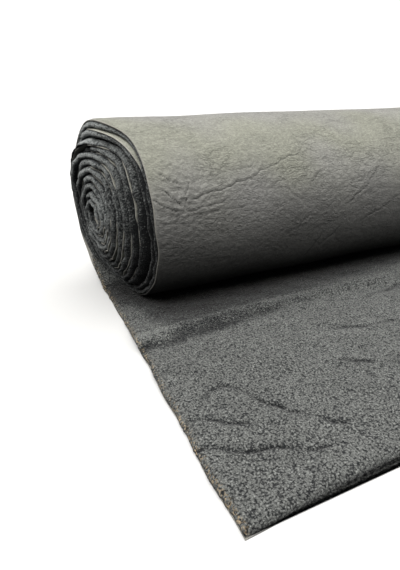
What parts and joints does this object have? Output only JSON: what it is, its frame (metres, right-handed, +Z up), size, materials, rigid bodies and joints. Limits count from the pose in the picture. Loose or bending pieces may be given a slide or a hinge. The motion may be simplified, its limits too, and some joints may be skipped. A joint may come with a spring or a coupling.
{
  "type": "roll of plush fabric",
  "caption": "Roll of sherpa plush cloth on its side, smooth suede-like backing outwards, its telescoped left end standing out and its loose end spread in front, pile up.",
  "frame": {"origin": "on the surface the cloth lies on, straight below the roll's axis, halfway along the roll", "axes": "+X along the roll's axis, the end whose core stands out being at -X; -Y to where the loose end lies; +Z up"},
  "size_m": [1.5199, 0.5933, 0.2608],
  "materials": {
    "backing": "matt suede-like face with fine grain and soft creases",
    "pile": "short curly sherpa pile, matt"
  },
  "bodies": {
    "root": {"wound_roll": "backing", "loose_end": "pile"}
  },
  "joints": []
}
